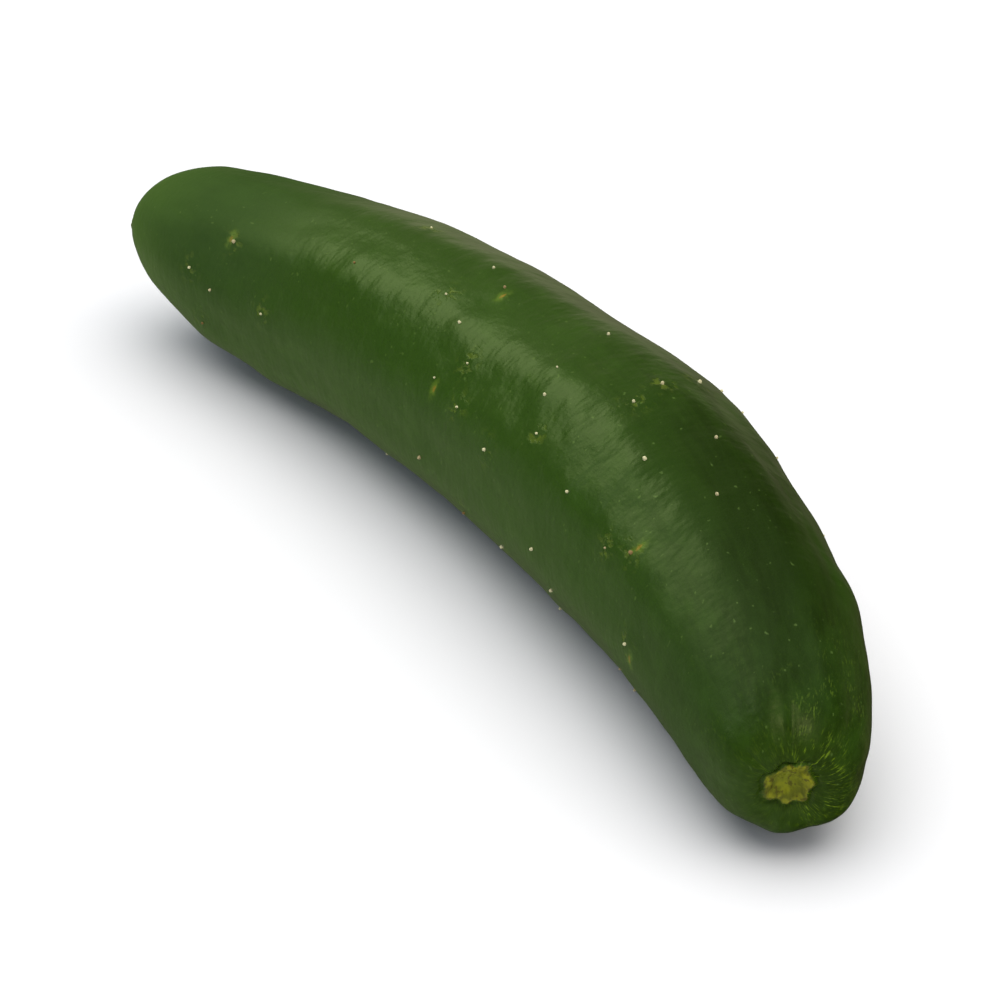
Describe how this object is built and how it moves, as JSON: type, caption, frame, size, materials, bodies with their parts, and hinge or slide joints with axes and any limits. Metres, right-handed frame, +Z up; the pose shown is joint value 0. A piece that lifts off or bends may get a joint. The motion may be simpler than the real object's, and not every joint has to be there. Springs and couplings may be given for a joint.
{
  "type": "cucumber",
  "caption": "Whole fresh cucumber lying on its side: a long dark green barrel bent into a gentle arc, blunt at the blossom end with a sunken corky scar, slimmer and rounder at the stem end.",
  "frame": {"origin": "on the table, under the middle of the bounding box of the cucumber", "axes": "+X from the stem end to the blossom end along the line between the two tips, +Y towards the bulging side of the bend, +Z up from the table"},
  "size_m": [0.2166, 0.0514, 0.0432],
  "materials": {
    "skin": "dark green waxy skin, semi-gloss, with fine lengthways mottling",
    "corky_scar": "dry corky tissue, yellow-green, matte",
    "spine_tips": "dry broken spine tips, cream, matte"
  },
  "bodies": {
    "root": {"cucumber": "skin"}
  },
  "joints": []
}
